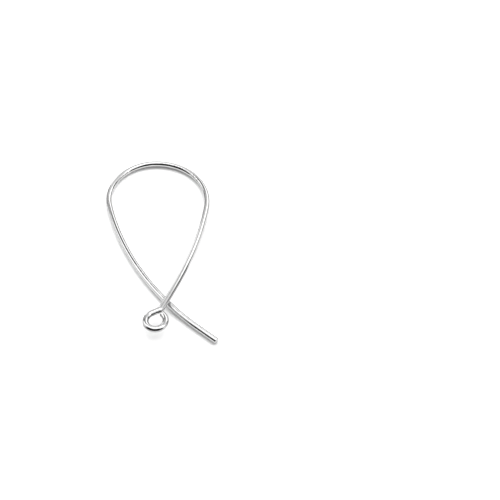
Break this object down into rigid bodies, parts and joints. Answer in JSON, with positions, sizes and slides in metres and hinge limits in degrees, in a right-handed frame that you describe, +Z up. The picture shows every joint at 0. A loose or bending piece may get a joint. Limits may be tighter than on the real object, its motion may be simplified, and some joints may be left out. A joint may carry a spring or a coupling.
{
  "type": "ear wire",
  "caption": "Drop-shaped hoop ear wire of round polished silver wire that crosses over itself, with a round eye on the stem and a straight post",
  "frame": {"origin": "Middle of the wire's box in plan, at the level of the surface it lies on", "axes": "+Z up from the surface; +Y from the crossing to the crown; +X to the right, where the post points"},
  "size_m": [0.0148, 0.0298, 0.0016],
  "materials": {
    "silver": "polished"
  },
  "bodies": {
    "root": {"ear_wire": "silver"}
  },
  "joints": []
}
